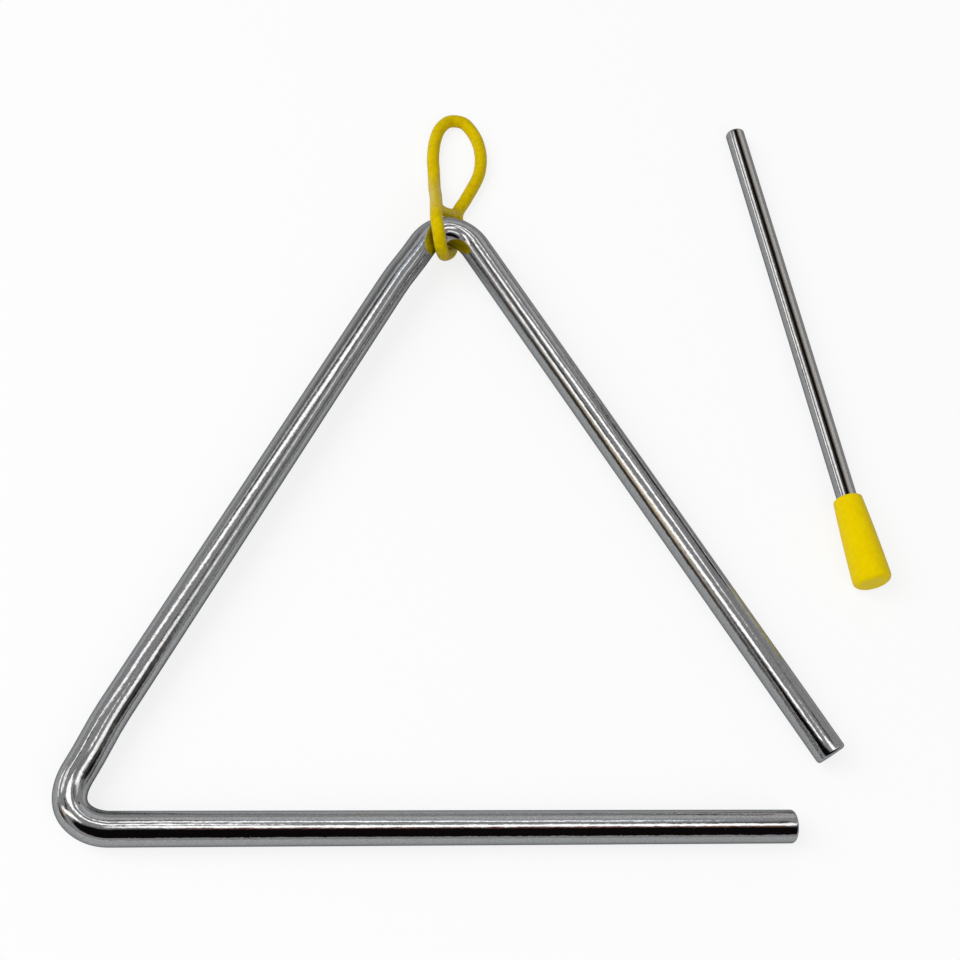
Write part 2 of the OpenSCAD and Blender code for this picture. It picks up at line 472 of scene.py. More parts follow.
# %% How the jig presses each bend
# Each: how far inward, where from the middle of the bend, how far it reaches below and above
shoulder = (0.85 * MM, 8.0 * MM, 9.0 * MM, 17.0 * MM)
bend_top = (-0.4 * MM, 0.5 * MM, 9.0 * MM, 9.0 * MM)
bend_thinning = 0.04


def hump(run, middle, below, above):
    """A smooth hump, one at its middle and zero beyond its reach."""
    share = (run - middle) / (above if run > middle else below)
    return max(0.0, 1 - share**2) ** 2


def press(points, ways, middle_index, leg_side):
    """Bends the true path as the jig does. Returns the path and how thick the bar is there."""
    run = np.concatenate([[0.0], np.cumsum(np.linalg.norm(np.diff(points, axis=0), axis=1))])
    run = (run - run[middle_index]) * leg_side
    inward = np.cross(ways, plane_normal)
    depth = np.array([sum(d[0] * hump(s, *d[1:]) for d in (shoulder, bend_top)) for s in run])
    thick = np.array([1 - bend_thinning * hump(s, *bend_top[1:]) for s in run])
    return points + inward * depth[:, None], thick


true_path = np.array([point for part in runs for point in part])
ways = np.array([along for along, _, _ in turned_frames(list(true_path))])
left_middle = len(runs[0]) + bend_steps // 2
top_middle = len(runs[0]) + bend_steps + len(runs[2]) + bend_steps // 2
body_points, thick_left = press(true_path, ways, left_middle, 1)
body_points, thick_top = press(body_points, ways, top_middle, -1)
moved = np.linalg.norm(body_points - true_path, axis=1).max()
print(f"the jig moves the path by {moved / MM:.2f} mm at most")

# %% Sweep the bar
bar_sides = 72
start_points, start_radii = rounded_end(bottom_end, bottom_dir, bar_r, cut_rim)
end_points, end_radii = rounded_end(right_end, right_dir, bar_r, cut_rim)
bar_points = start_points[::-1] + list(body_points) + end_points
bar_radii = start_radii[::-1] + list(bar_r * thick_left * thick_top) + end_radii
bar = tube("bent_bar", bar_points, bar_radii, bar_sides)
bar.data.materials.append(bar_chrome)
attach(bar, "triangle")
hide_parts("triangle_bar")
print(f"bar: {len(bar.data.vertices)} points")

# %% [markdown]
# ## Soft vinyl, moulded in colour
#
# Loop and grip are soft vinyl with the colour all through it, so scratches don't
# show as another colour. The loop comes from a mould, whose skin is satin with a
# fine grain. The grip was dipped, and is smoother but more matt. A little light
# travels through the plastic, so its shaded side stays warm. Its gloss lies under
# a film of its own colour and shines yellow rather than white, which the tint and
# the low level of the specular part give.
#
# Scales, from the real thing: grain 0.35 mm, and blotches of a slightly deeper
# yellow about 1.4 mm across, from pigment that isn't mixed quite evenly.

# %% Vinyl materials
grain_mm = 0.35
mottle_mm = 1.4
grain_roughness = 0.07
light_depth_mm = 0.8
film_tint = "#FFD84E"


def soft_vinyl(name, hex_colour, hex_shade, roughness, grain_height_mm):
    """Vinyl coloured all through, with a skin of fine grain."""
    material, tree = new_material(name)
    at = add(tree, "ShaderNodeTexCoord").outputs["Object"]
    mottle = add(tree, "ShaderNodeTexNoise", Vector=at, Scale=1 / (mottle_mm * MM), Detail=3.0)
    grain = add(tree, "ShaderNodeTexNoise", Vector=at, Scale=1 / (grain_mm * MM), Detail=3.0)
    blend = add(
        tree, "ShaderNodeMapRange", Value=mottle.outputs["Fac"], From_Min=0.35, From_Max=0.65
    )
    colour = add(
        tree,
        "ShaderNodeMix",
        {"data_type": "RGBA"},
        _0=blend.outputs[0],
        A=linear(hex_colour),
        B=linear(hex_shade),
    )
    rough = add(
        tree,
        "ShaderNodeMapRange",
        Value=grain.outputs["Fac"],
        From_Min=0.3,
        From_Max=0.7,
        To_Min=roughness - grain_roughness,
        To_Max=roughness + grain_roughness,
    )
    bump = add(
        tree,
        "ShaderNodeBump",
        Height=grain.outputs["Fac"],
        Distance=grain_height_mm * MM,
        Strength=0.6,
    )
    vinyl = add(
        tree,
        "ShaderNodeBsdfPrincipled",
        Base_Color=colour.outputs["Result"],
        Roughness=rough.outputs["Result"],
        Normal=bump.outputs[0],
        IOR=1.53,
        Specular_IOR_Level=0.16,
        Specular_Tint=linear(film_tint),
        Subsurface_Weight=0.12,
        Subsurface_Scale=light_depth_mm * MM,
    )
    finish_material(material, vinyl)
    return material


loop_vinyl = soft_vinyl("loop_vinyl", "#D2B800", "#C3A800", 0.22, 0.05)
grip_vinyl = soft_vinyl("grip_vinyl", "#E4CA00", "#E0C200", 0.45, 0.01)

# %% [markdown]
# ## The holder loop
#
# One moulding: a strand makes a small ring round the bar, and a longer loop for
# the finger, and a web ties its two strands together just behind the bar. The
# strand follows a smooth closed curve through a few points, kept as shares of the
# loop's own width and reach, so that the loop can be made longer or wider. All of
# them are measured from where the hinge line crosses the middle of the top bend.

# %% Sizes of the loop
strand_r = 1.65 * MM
ring_play = 0.8 * MM
ring_r = bar_r + ring_play + strand_r
ring_seat = math.radians(14)
ring_lean = 2.2 * MM
finger_l = 44.0 * MM
finger_w = 14.0 * MM
finger_left = 1.1 * MM
web_r = 1.1 * MM

hinge = np.array(swing["pos_m"])
loop_origin = np.array([top_corner[0], hinge[1], hinge[2]])
hinge_x = hinge[0] - loop_origin[0]
print(f"ring: {2 * ring_r / MM:.1f} mm across, to the middle of its strand")

# %% [markdown]
# The ring runs from over the bar, round its front and under it. Round a straight
# bar it would be a flat circle. Here it leans to one side on its way, so that it
# can pass beside the strand it started from.

# %% Ring round the bar
ring_from = 60
ring_by = 30
# At each step: how far the ring leans along the bar, and how far off the true circle it is
ring_lean_shares = (-0.42, -0.95, -1.15, -1, -0.4, 0.35, 1.55, 2.5)
ring_off_shares = (0.2, 0.6, 1.1, 1, 0.1, -0.35, -0.1, 0)

ring_part = []
for i, (lean, off) in enumerate(zip(ring_lean_shares, ring_off_shares)):
    angle = math.radians(ring_from + ring_by * i)
    along = lean * ring_lean
    radius = ring_r + off * ring_play
    out = radius * math.cos(angle)
    ring_part.append(
        (
            hinge_x + along * math.cos(ring_seat) - out * math.sin(ring_seat),
            along * math.sin(ring_seat) + out * math.cos(ring_seat),
            radius * math.sin(angle),
        )
    )
print(f"ring: {len(ring_part)} knots")

# %% [markdown]
# Behind the bar the strand lies on the table, goes round the finger's space and
# comes back. Then it climbs on to the bar, to where the ring began.

# %% Finger loop, and the climb back to the ring
# Shares of the finger loop's width and length
lying_shares = (
    (0.43, 0.11), (0.42, 0.25), (0.605, 0.365), (0.77, 0.465), (0.91, 0.56),
    (0.98, 0.65), (1, 0.745), (0.955, 0.845), (0.85, 0.925), (0.71, 0.985),
    (0.53, 1), (0.35, 0.985), (0.185, 0.925), (0.085, 0.845), (0.03, 0.76),
    (0, 0.67), (0, 0.58),
)
# Shares of the way across to the ring, of the loop's length, and of the height of the ring
climb_shares = ((0.05, 0.5, 0.03), (0.2, 0.4, 0.17), (0.4, 0.295, 0.42), (0.7, 0.18, 0.7))

lying_part = [(s[0] * finger_w - finger_left, s[1] * finger_l, -ring_r) for s in lying_shares]
climb_across = ring_part[0][0] + finger_left
climb_part = [
    (-finger_left + s[0] * climb_across, s[1] * finger_l, (2 * s[2] - 1) * ring_r)
    for s in climb_shares
]
loop_knots = np.array(ring_part + lying_part + climb_part)
print(f"loop: {len(loop_knots)} knots")

# %% Smooth curve through the knots
knot_steps = 10


def smooth_closed(knots, steps):
    """A smooth closed curve through all the knots."""
    points = []
    for i in range(len(knots)):
        a, b, c, d = (knots[(i + k) % len(knots)] for k in (-1, 0, 1, 2))
        for j in range(steps):
            t = j / steps
            points.append(
                0.5 * (2 * b + (c - a) * t + (2 * a - 5 * b + 4 * c - d) * t * t
                       + (3 * b - a - 3 * c + d) * t**3)
            )
    return np.array(points)


strand_path = smooth_closed(loop_knots, knot_steps)
# Between knots the curve may dip a little, and the table stops it
strand_path[:, 2] = np.maximum(strand_path[:, 2], -ring_r)
strand_path += loop_origin
print(f"strand: {np.linalg.norm(np.diff(strand_path, axis=0), axis=1).sum() / MM:.0f} mm long")

# %% [markdown]
# The web is a short thick bridge from the climbing strand down to the one on the
# table. It sags a little and flares into both, as soft plastic does where two
# parts of a mould meet.

# %% Strand and web as two tubes
strand_sides = 24
web_parts = 8
web_sag = np.array([0.0, -0.45, -0.2]) * MM
web_flare_low = 0.55
web_flare_high = 0.35
# The melting below eats this much off the skin, so both tubes start thicker by it
skin_shrink = 0.11 * MM

strand_radii = [strand_r + skin_shrink] * len(strand_path)
strand = tube("holder_strand", strand_path, strand_radii, strand_sides, closed=True)
web_from = (np.array(climb_part[3]) + np.array(ring_part[0])) / 2 + loop_origin
web_to = np.array(lying_part[1]) + loop_origin
web_points = []
web_radii = []
for s in (i / web_parts for i in range(web_parts + 1)):
    web_points.append(web_from + (web_to - web_from) * s + web_sag * 4 * s * (1 - s))
    flare = 1 + web_flare_low * s**2 + web_flare_high * (1 - s) ** 4
    web_radii.append(web_r * flare + skin_shrink)
web = tube("holder_web", web_points, web_radii, strand_sides)
print(f"web: {np.linalg.norm(web_to - web_from) / MM:.1f} mm from strand to strand")

# %% [markdown]
# To melt strand and web into one skin, both tubes go through a voxel remesh,
# which rebuilds them as one closed surface, and a little smoothing, which leaves
# the small fillets that a mould has. A boolean union would join them too, but
# with a sharp crease where they meet.

# %% Melt strand and web into one skin
voxel = 0.22 * MM
fillet_factor = 0.5
fillet_rounds = 8


def join_meshes(keep, other):
    """Moves other's mesh into keep and deletes other."""
    mesh = bmesh.new()
    mesh.from_mesh(keep.data)
    mesh.from_mesh(other.data)
    mesh.to_mesh(keep.data)
    mesh.free()
    bpy.data.objects.remove(other)


def apply_modifiers(piece):
    """Turns what the modifiers make into the piece's own mesh."""
    graph = bpy.context.evaluated_depsgraph_get()
    data = bpy.data.meshes.new_from_object(piece.evaluated_get(graph))
    piece.modifiers.clear()
    piece.data = data


join_meshes(strand, web)
remesh = strand.modifiers.new("melt", "REMESH")
remesh.mode = "VOXEL"
remesh.voxel_size = voxel
fillet = strand.modifiers.new("fillet", "SMOOTH")
fillet.factor = fillet_factor
fillet.iterations = fillet_rounds
apply_modifiers(strand)

# %% The finished loop
strand.name = "finger_loop"
strand.data.name = "finger_loop"
strand.data.materials.clear()
strand.data.materials.append(loop_vinyl)
strand.data.shade_smooth()
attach(strand, "holder")
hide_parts("holder_loop")
print(f"loop: {len(strand.data.vertices)} points")

# %% [markdown]
# ## The beater's rod
#
# A straight plated rod with a rounded striking end, pushed into a grip. It is the
# same kind of sweep as the bar, so its plate can carry draw lines too. Its axis
# comes from the frame's mount, which lies some way back from the tip.

# %% Rod
rod_r = 2.75 * MM
rod_rim = 0.8 * MM
rod_rim_steps = 8
rod_sides = 56
beater_l = 148.5 * MM
grip_l = 25.0 * MM
socket_l = 18.0 * MM
tip_lead = 40.0 * MM

tip_at, tip_dir = mount_line("beater_tip")
rod_tip = tip_at + tip_lead * tip_dir
rod_foot = rod_tip - (beater_l - grip_l + socket_l) * tip_dir
rod_wall_end = rod_tip - rod_rim * tip_dir
tip_points, tip_radii = rounded_end(rod_tip, tip_dir, rod_r, rod_rim, rod_rim_steps)
rod_points = straight(rod_foot, rod_wall_end) + [rod_wall_end] + tip_points
rod_radii = [rod_r] * (len(rod_points) - len(tip_points)) + tip_radii
rod = tube("plated_rod", rod_points, rod_radii, rod_sides)
rod.data.materials.append(rod_chrome)
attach(rod, "beater")
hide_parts("beater_rod")
print(f"rod: {np.linalg.norm(rod_tip - rod_foot) / MM:.1f} mm long, tip {rod_tip.round(4)}")

# %% [markdown]
# ## The beater's grip
#
# Vinyl, dipped on a tapered form: a little barrel-shaped, with a crisp rim at its
# mouth and a rounder one at its closed end, where the liquid gathered. It is a
# turned form. Its outline, from the socket's floor out round the mouth, down the
# taper and round the closed end, is swept round the rod's axis. A cone with
# modifiers would need a boolean for the socket, and the outline gives it at once.

# %% Outline of the grip
mouth_r = 3.9 * MM
end_r = 5.2 * MM
swell = 0.15 * MM
mouth_rim = 0.6 * MM
end_rim = 1.7 * MM
socket_r = rod_r + 0.03 * MM
socket_edge = 0.06 * MM
quarter_steps = 8
side_steps = 24


def grip_radius(u):
    """Radius of the grip's side at a distance from its mouth."""
    t = u / grip_l
    return mouth_r + (end_r - mouth_r) * t + swell * 4 * t * (1 - t)


def quarter(middle_r, middle_u, rim, start):
    """Outline round a rim, from an angle through a quarter turn."""
    angles = [math.radians(start + 90 * i / quarter_steps) for i in range(quarter_steps + 1)]
    return [(middle_r + rim * math.cos(a), middle_u + rim * math.sin(a)) for a in angles]


outline = [(0.0, socket_l), (socket_r * 0.9, socket_l), (socket_r, socket_l * 0.98)]
outline += [(socket_r, socket_edge), (socket_r + socket_edge, 0.0)]
outline += quarter(grip_radius(mouth_rim) - mouth_rim, mouth_rim, mouth_rim, -90)
for i in range(1, side_steps):
    u = mouth_rim + (grip_l - mouth_rim - end_rim) * i / side_steps
    outline.append((grip_radius(u), u))
outline += quarter(grip_radius(grip_l - end_rim) - end_rim, grip_l - end_rim, end_rim, 0)
outline += [(grip_radius(grip_l) * 0.5, grip_l), (0.0, grip_l)]
print(f"grip outline: {len(outline)} points")

# %% Turn the grip
grip_sides = 72


def turned(name, outline, base, along, sides):
    """A form turned round an axis from (radius, distance) pairs."""
    side = unit(np.cross(along, first_side))
    up = np.cross(along, side)
    turns = [2 * math.pi * k / sides for k in range(sides)]
    mesh = bmesh.new()
    rings = []
    for radius, distance in outline:
        centre = base + along * distance
        ring = [centre + radius * math.cos(t) * side + radius * math.sin(t) * up for t in turns]
        rings.append([mesh.verts.new(point) for point in (ring if radius else [centre])])
    for a, b in zip(rings, rings[1:]):
        bridge(mesh, a, b, sides)
    bmesh.ops.recalc_face_normals(mesh, faces=mesh.faces)
    return built_piece(name, mesh)


grip_mouth = rod_tip - (beater_l - grip_l) * tip_dir
grip = turned("vinyl_grip", outline, grip_mouth, -tip_dir, grip_sides)
grip.data.materials.append(grip_vinyl)
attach(grip, "beater")
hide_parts("beater_grip")
print(f"grip: {len(grip.data.vertices)} points, mouth {grip_mouth.round(4)}")

# %% [markdown]
# ## The table and the white background
#
# The set lies on a plain white sheet. A real one always photographs a little
# grey, so to the camera most of the sheet's light is its own, at full white, and
# all of it is far from the set, where no shadow falls. The rest is an ordinary
# matt white that takes the light of the lamps, and so keeps the soft shadows.
#
# The chrome sees the sheet as a mid grey, and that grey is painted shade: to
# mirrored rays two fifths of the sheet is painted black, and what is left of the
# matt white keeps the true shadows in the metal.

# %% Who is looking


def seen_as_background(tree):
    """Two masks: rays from the camera or from metal and glass, and the latter alone."""
    ray = add(tree, "ShaderNodeLightPath")
    mirrored = add(
        tree,
        "ShaderNodeMath",
        {"operation": "MAXIMUM"},
        _0=ray.outputs["Is Glossy Ray"],
        _1=ray.outputs["Is Transmission Ray"],
    )
    seen = add(
        tree,
        "ShaderNodeMath",
        {"operation": "MAXIMUM"},
        _0=ray.outputs["Is Camera Ray"],
        _1=mirrored.outputs[0],
    )
    return seen.outputs[0], mirrored.outputs[0]


# %% White sheet
own_light_share = 0.8
# Painted shade: the share of the sheet that mirrored rays see as black
painted_shade_in_metal = 0.4
near_set = 0.16
far_from_set = 0.7

table_white, tree = new_material("table_white")
seen, mirrored = seen_as_background(tree)
matt = add(tree, "ShaderNodeBsdfDiffuse", Color=linear("#F3F4F4"))
strength = add(tree, "ShaderNodeMapRange", Value=mirrored, To_Min=1.0, To_Max=0.0)
own = add(tree, "ShaderNodeEmission", Color=linear("#FFFFFF"), Strength=strength.outputs[0])
sheet_at = add(tree, "ShaderNodeTexCoord").outputs["Object"]
from_set = add(tree, "ShaderNodeVectorMath", {"operation": "LENGTH"}, _0=sheet_at)
to_camera = add(
    tree,
    "ShaderNodeMapRange",
    Value=from_set.outputs["Value"],
    From_Min=near_set,
    From_Max=far_from_set,
    To_Min=own_light_share,
    To_Max=1.0,
)
to_either = add(
    tree,
    "ShaderNodeMapRange",
    Value=mirrored,
    To_Min=to_camera.outputs["Result"],
    To_Max=painted_shade_in_metal,
)
share = add(tree, "ShaderNodeMath", {"operation": "MULTIPLY"}, _0=seen, _1=to_either.outputs[0])
sheet = add(
    tree, "ShaderNodeMixShader", _0=share.outputs[0], _1=matt.outputs[0], _2=own.outputs[0]
)
finish_material(table_white, sheet)

# %% Table
table_half = 9.0


def flat_sheet(name, corners, material):
    """A flat sheet from its four corners: near left, near right, far left, far right."""
    data = bpy.data.meshes.new(name)
    data.from_pydata(corners, [], [(0, 1, 3, 2)])
    data.materials.append(material)
    return new_piece(name, data)


table_ends = (-table_half, table_half)
table = flat_sheet("table", [(x, y, 0.0) for y in table_ends for x in table_ends], table_white)
print(f"table: {2 * table_half:.0f} m wide")

# %% [markdown]
# ## What the chrome mirrors
#
# Round chrome has no look of its own: each band along the bar is a piece of the
# room. A photographer therefore hangs cards round the table and watches the bar,
# not the cards. Here one wide tent stands in for the room, and each card is a
# soft-edged stroke painted on its inside: a painted reflection, which glows
# though it is no lamp. Separate glowing planes could do it too, but they would
# hide one another. Only mirrored rays meet the tent, so it lights nothing and
# hides nothing.
#
# A card's two ends are given as seen from the table: how far right and how far
# back it is for each step up. Its colour is that of its image in the chrome. A
# card lies over the ones before it in the list. The long white strips are painted
# highlights, drawn where lamps behind cloth would show: D in front, A and C nearly
# overhead, and B towards the back.

# %% Cards in the tent
tent_r = 8.0
tent_low = 0.04
tent_glow = 1.06
# The tent's ground under all the cards: a painted reflection of a grey room
room_colour = "#767677"
cards = (
    # name, image colour, one end, other end, half width, soft edge
    ("north haze", "#929292", (0.1, 1.3), (1.0, 1.7), 0.35, 0.4),
    ("north-west dusk", "#585858", (-0.7, 1.6), (-1.8, 3.4), 0.15, 0.4),
    ("east dusk", "#545454", (2.6, -0.1), (9.0, 0.1), 0.15, 0.4),
    ("strip D", "#E4E4E4", (-0.45, -0.62), (0.45, -0.68), 0.05, 0.1),
    ("west cloth", "#3E362A", (-3.4, -1.15), (-8.0, -2.5), 0.35, 0.5),
    ("west cloth, far", "#342C20", (-8.0, -2.4), (-24.0, -6.5), 2.0, 1.5),
    ("west mark", "#4A4744", (-1.1, -0.56), (-1.25, -0.6), 0.04, 0.1),
    ("strip A, haze", "#D6C49C", (-1.3, -0.36), (-1.8, -0.53), 0.05, 0.12),
    ("strip A, far haze", "#9A9182", (-1.7, -0.5), (-2.4, -0.72), 0.08, 0.16),
    ("dark line", "#3A3938", (-0.69, 0.08), (-0.81, -0.09), 0.05, 0.08),
    ("east cloth", "#3A3836", (1.03, -0.23), (4.6, -1.2), 0.07, 0.16),
    ("east mark", "#464646", (1.8, -0.1), (2.0, -0.12), 0.03, 0.1),
    ("middle streak", "#444342", (0.42, 0.17), (0.52, 0.31), 0.03, 0.08),
    ("north streak", "#3A3938", (0.02, 0.76), (-0.5, 0.96), 0.035, 0.07),
    ("north light", "#A2A2A2", (-0.27, 0.98), (-0.95, 1.36), 0.03, 0.1),
    ("dark spot", "#2C2B2A", (0.95, 0.95), (1.35, 1.28), 0.04, 0.12),
    ("west window", "#F0F0F0", (-1.02, 0.5), (-1.02, 0.9), 0.06, 0.14),
    ("west window, far", "#ECEAE6", (-1.45, 0.6), (-1.5, 1.0), 0.1, 0.2),
    ("west sky", "#F0EEEA", (-5.2, 2.1), (-12.0, 5.0), 1.0, 1.0),
    ("strip A, far west", "#D4D2CE", (-2.0, -0.25), (-1.2, -0.22), 0.06, 0.12),
    ("strip A, west", "#FFFFFF", (-1.35, -0.22), (-0.95, -0.27), 0.045, 0.09),
    ("strip A, middle", "#FFFFFF", (-0.95, -0.27), (-0.48, -0.22), 0.045, 0.09),
    ("strip A, brown edge", "#8C5A48", (0.1, -0.3), (0.5, -0.29), 0.02, 0.07),
    ("strip A, east", "#FFFFFF", (0.1, -0.075), (0.5, -0.045), 0.07, 0.1),
    ("strip A, next", "#F0F0F0", (0.5, -0.02), (0.86, 0.015), 0.025, 0.08),
    ("strip A, far east", "#D6D6D6", (0.86, 0.02), (1.02, 0.1), 0.05, 0.14),
    ("strip A, end", "#B6B6B6", (1.02, 0.1), (1.14, 0.26), 0.06, 0.16),
    ("strip C", "#FFFFFF", (-0.38, 0.205), (0.03, 0.198), 0.03, 0.07),
    ("strip B, blue edge", "#8592A6", (0.1, 0.69), (0.45, 0.63), 0.02, 0.05),
    ("strip B, east", "#FFFFFF", (0.07, 0.535), (0.33, 0.475), 0.03, 0.08),
    ("strip B, middle", "#FFFFFF", (-0.4, 0.685), (0.07, 0.535), 0.03, 0.07),
    ("strip B, west", "#F0F0F2", (-0.8, 0.92), (-0.4, 0.69), 0.035, 0.08),
    ("strip B, dark end", "#4E4E50", (-0.92, 0.66), (-0.83, 0.77), 0.05, 0.06),
)
print(f"tent: {len(cards)} cards")

# %% [markdown]
# A stroke is all that lies near a line from one end to the other. The nearest
# point on that line is the share of the way along it that a dot product gives,
# held between the two ends. The distance to it, softened, is the stroke.

# %% One stroke, and what it gives off


def glow_for(hex_colour):
    """What a card must give off for its image in the chrome to have this colour."""
    plate = linear(mean_plate)
    return tuple(c / p for c, p in zip(linear(hex_colour)[:3], plate)) + (1.0,)


def cover_of(tree, at, start, end, half_width, soft):
    """How much a soft-edged stroke covers each place, from zero to one."""
    run = (end[0] - start[0], end[1] - start[1], 0.0)
    off = add(tree, "ShaderNodeVectorMath", {"operation": "SUBTRACT"}, _0=at, _1=(*start, 0.0))
    dot = add(tree, "ShaderNodeVectorMath", {"operation": "DOT_PRODUCT"}, _0=off.outputs[0], _1=run)
    share = add(
        tree,
        "ShaderNodeMath",
        {"operation": "DIVIDE", "use_clamp": True},
        _0=dot.outputs["Value"],
        _1=run[0] ** 2 + run[1] ** 2,
    )
    near = add(tree, "ShaderNodeVectorMath", {"operation": "SCALE"}, _0=run, Scale=share.outputs[0])
    gap = add(
        tree,
        "ShaderNodeVectorMath",
        {"operation": "DISTANCE"},
        _0=off.outputs[0],
        _1=near.outputs[0],
    )
    cover = add(
        tree,
        "ShaderNodeMapRange",
        {"interpolation_type": "SMOOTHSTEP"},
        Value=gap.outputs["Value"],
        From_Min=half_width + soft,
        From_Max=half_width,
    )
    return cover.outputs["Result"]


white_glow = glow_for("#FFFFFF")[0]
print(f"a card whose image is white gives off {white_glow:.2f} of white")

# %% Paint the tent
painted_reflection_tent, tree = new_material("painted_reflection_tent")
painted_reflection_tent.cycles.emission_sampling = "NONE"
inside = add(tree, "ShaderNodeTexCoord").outputs["Object"]
parts = add(tree, "ShaderNodeSeparateXYZ", _0=inside)
height = add(
    tree, "ShaderNodeMath", {"operation": "MAXIMUM"}, _0=parts.outputs["Z"], _1=tent_low * tent_r
)
right, back = (
    add(tree, "ShaderNodeMath", {"operation": "DIVIDE"}, _0=parts.outputs[way], _1=height.outputs[0])
    for way in ("X", "Y")
)
seen_at = add(tree, "ShaderNodeCombineXYZ", _0=right.outputs[0], _1=back.outputs[0])
layer = glow_for(room_colour)
for _, colour, *stroke in cards:
    cover = cover_of(tree, seen_at.outputs[0], *stroke)
    hung = add(tree, "ShaderNodeMix", {"data_type": "RGBA"}, _0=cover, A=layer, B=glow_for(colour))
    layer = hung.outputs["Result"]
glow = add(tree, "ShaderNodeEmission", Color=layer, Strength=tent_glow)
finish_material(painted_reflection_tent, glow)

# %% Put up the tent
tent_steps = 24
tent_sides = 64


def only_mirrored(piece):
    """Hides a card from all but mirrored rays."""
    for ray in ("camera", "diffuse", "transmission", "volume_scatter", "shadow"):
        setattr(piece, "visible_" + ray, False)


tent_outline = []
for i in range(tent_steps + 1):
    angle = math.pi / 2 * i / tent_steps
    tent_outline.append((tent_r * math.sin(angle), tent_r * math.cos(angle)))
tent = turned("tent", tent_outline, np.zeros(3), np.array([0.0, 0.0, 1.0]), tent_sides)
tent.data.materials.append(painted_reflection_tent)
only_mirrored(tent)
print(f"tent: {2 * tent_r:.0f} m wide")

# %% [markdown]
# Some of what the bar shows is close to it, so its upper and lower ends see it in
# different places, which no far card can give. These close cards are painted
# reflections too, seen only in the metal. A black card hangs 200 mm over the front
# of the table, where the bottom leg shows it as its black band and the top bend
# no longer sees it. A narrow grey card follows the right leg at 30 mm as a painted
# grey reflection, and a spot of the same grey paints shade over the white inside
# the left bend. They are flat cards with soft edges, clear where the stroke
# doesn't cover them.

# %% Where the close cards hang
grey_card_up = 30 * MM
painted_grey_tone = "#6E6E70"
grey_card_start = top_corner + 9 * MM * right_dir + np.array([0.15, 0.47, 0.0]) * grey_card_up
grey_card_end = right_end - 25 * MM * right_dir + np.array([0.38, 0.55, 0.0]) * grey_card_up
spot_start = left_corner + np.array([9.5, 18.5, 0.0]) * MM
spot_end = spot_start + np.array([1.0, 0.5, 0.0]) * MM
black_band_up = 200 * MM
black_band_start = np.array([-100.0, -484.5]) * MM
black_band_end = np.array([350.0, -484.5]) * MM
# Painted reflections: each card glows at the tone its image in the chrome should have, a black band,
# a grey band and a spot of painted shade
close_cards = (
    # name, image colour, height, one end, other end, half width, soft edge
    ("painted_black_band", "#0A0808", black_band_up, black_band_start, black_band_end, 300 * MM, 50 * MM),
    ("painted_leg_reflection", painted_grey_tone, grey_card_up, grey_card_start[:2], grey_card_end[:2], 3 * MM, 2.7 * MM),
    ("painted_bend_shade", painted_grey_tone, grey_card_up, spot_start[:2], spot_end[:2], 3.5 * MM, 2 * MM),
)
print("close cards:", [card[0] for card in close_cards])

# %% Close cards
for name, colour, up, start, end, half_width, soft in close_cards:
    paint, tree = new_material(name + "_paint")
    paint.cycles.emission_sampling = "NONE"
    at = add(tree, "ShaderNodeTexCoord").outputs["Object"]
    cover = cover_of(tree, at, start, end, half_width, soft)
    clear = add(tree, "ShaderNodeBsdfTransparent")
    glow = add(tree, "ShaderNodeEmission", Color=glow_for(colour), Strength=1.0)
    mixed = add(tree, "ShaderNodeMixShader", _0=cover, _1=clear.outputs[0], _2=glow.outputs[0])
    finish_material(paint, mixed)
    near_corner = np.minimum(start, end) - half_width - soft
    far_corner = np.maximum(start, end) + half_width + soft
    (left, front), (right, back) = near_corner, far_corner
    card = flat_sheet(name, [(x, y, 0.0) for y in (front, back) for x in (left, right)], paint)
    card.location.z = up + bar_r
    only_mirrored(card)

# %% [markdown]
# The thin rod shows less of the room than the bar does, and a black line runs
# down it. A small card held just over it paints that reflection: black where the
# line is, and grey on the far side. It glows with those tones and only the metal
# sees it. It is so close that the bar hardly sees it. Its tones change only
# across it, so a value at its corners, zero on the left and one on the right, is
# all that its colour ramp needs.

# %% Tones of the card over the beater
# Image colours from the card's left edge to its right, by share of its width
rod_card_colours = (
    (0.0, "#4A4846"), (0.11, "#3C3A38"), (0.15, "#0A0808"), (0.27, "#0A0808"),
    (0.33, "#302E2B"), (0.4, "#706C67"), (0.5, "#A09C97"), (1.0, "#A6A29C"),
)

# Painted reflection: the card glows with the rod's black line and grey side
rod_paint, tree = new_material("rod_card_paint")
rod_paint.cycles.emission_sampling = "NONE"
across = add(tree, "ShaderNodeAttribute", {"attribute_name": "across"})
stops = [(place, glow_for(colour)) for place, colour in rod_card_colours]
tones = ramp(tree, across.outputs["Fac"], stops)
glow = add(tree, "ShaderNodeEmission", Color=tones, Strength=1.0)
finish_material(rod_paint, glow)

# %% Card over the beater
rod_card_up = 30.0 * MM
# Shares of its height over the rod: how far back it hangs, and its left and right edge
rod_card_back = 0.55
rod_card_edges = (-0.75, 1.6)
past_tip = 30 * MM
short_of_grip = 18 * MM

rod_side = unit(np.cross([0.0, 0.0, 1.0], tip_dir))
rod_side = rod_side * math.copysign(1, rod_side[0])
lift = np.array([0.0, rod_card_back, 1.0]) * rod_card_up
rod_card_ends = (rod_tip + past_tip * tip_dir, grip_mouth - short_of_grip * tip_dir)
corners = [
    tuple(end + lift + rod_side * edge * rod_card_up)
    for end in rod_card_ends
    for edge in rod_card_edges
]
rod_card = flat_sheet("rod_card", corners, rod_paint)
spread = rod_card.data.attributes.new("across", "FLOAT", "POINT")
spread.data.foreach_set("value", [0.0, 1.0, 0.0, 1.0])
only_mirrored(rod_card)
rod_card_l = np.linalg.norm(rod_card_ends[0] - rod_card_ends[1])
print(f"card over the beater: {rod_card_l / MM:.0f} mm long")

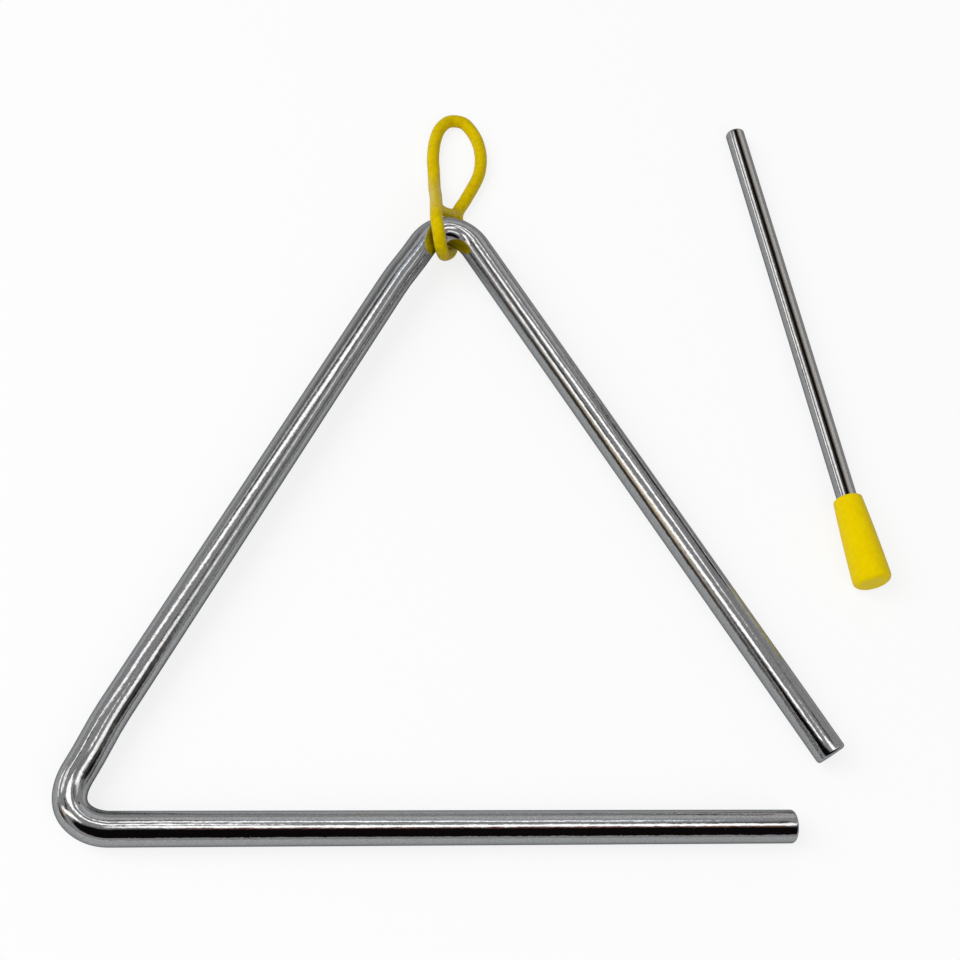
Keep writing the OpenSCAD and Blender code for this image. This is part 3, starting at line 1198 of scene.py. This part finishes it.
# %% [markdown]
# ## Lamps and the room's own light
#
# The plain light on the set: a large soft lamp on the left and a weaker one in
# front, both half-way up, over an even fill from the room. They are set so that a
# colour renders about as it is written. The chrome doesn't show the lamps, since
# the cards already say what it mirrors.

# %% Lamps


def soft_lamp(name, azimuth, elevation, distance, size, watts):
    """A square lamp aimed at the set. Seen from above, its azimuth turns clockwise from the back."""
    data = bpy.data.lights.new(name, "AREA")
    data.shape = "SQUARE"
    data.size = size
    data.energy = watts
    az = math.radians(azimuth)
    el = math.radians(elevation)
    towards = Vector((math.cos(el) * math.sin(az), math.cos(el) * math.cos(az), math.sin(el)))
    lamp = new_piece(name, data)
    lamp.location = towards * distance
    lamp.rotation_mode = "QUATERNION"
    lamp.rotation_quaternion = towards.to_track_quat("Z", "Y")
    lamp.visible_glossy = False
    print(f"{name} lamp: {watts} W, {size} m across, {distance} m away")


soft_lamp("key", -85, 45, 1.6, 1.2, 18)
soft_lamp("fill", 165, 45, 1.8, 1.4, 8)

# %% World
room_strength = 0.4

world = bpy.data.worlds.new("studio")
world.use_nodes = True
bpy.context.scene.world = world
tree = world.node_tree
tree.nodes.clear()
seen, _ = seen_as_background(tree)
room = add(tree, "ShaderNodeBackground", Color=linear("#FFFFFF"), Strength=room_strength)
white = add(tree, "ShaderNodeBackground", Color=linear("#FFFFFF"), Strength=1.0)
mixed = add(tree, "ShaderNodeMixShader", _0=seen, _1=room.outputs[0], _2=white.outputs[0])
add(tree, "ShaderNodeOutputWorld", Surface=mixed.outputs[0])
print(f"room light: {room_strength}, and white where it is looked at")

# %% [markdown]
# ## Camera
#
# The set was photographed from above and to the left, with the camera turned
# about its own line of sight, so the bottom leg lies level in the picture though
# the view comes from the side.

# %% Camera
look_at = Vector(bottom_at + np.array([6.405, 92.699, 0.0]) * MM)
look_at.z = 0.0
camera_distance = 443.518 * MM
camera_azimuth = math.radians(-25.414)
camera_elevation = math.radians(60.054)
camera_roll = math.radians(24.696)
focal_mm = 64.309
sensor_mm = 36.0

lens = bpy.data.cameras.new("camera")
lens.lens = focal_mm
lens.sensor_width = sensor_mm
lens.sensor_fit = "HORIZONTAL"
lens.clip_start = 0.01
lens.clip_end = 50.0
camera = new_piece("camera", lens)
back = Vector(
    (
        math.cos(camera_elevation) * math.sin(camera_azimuth),
        -math.cos(camera_elevation) * math.cos(camera_azimuth),
        math.sin(camera_elevation),
    )
)
camera.location = look_at + back * camera_distance
camera.rotation_euler = back.to_track_quat("Z", "Y").to_euler()
camera.rotation_euler.rotate_axis("Z", camera_roll)
bpy.context.scene.camera = camera
bpy.context.scene.view_settings.view_transform = "Standard"
print("camera at", [round(v, 3) for v in camera.location])
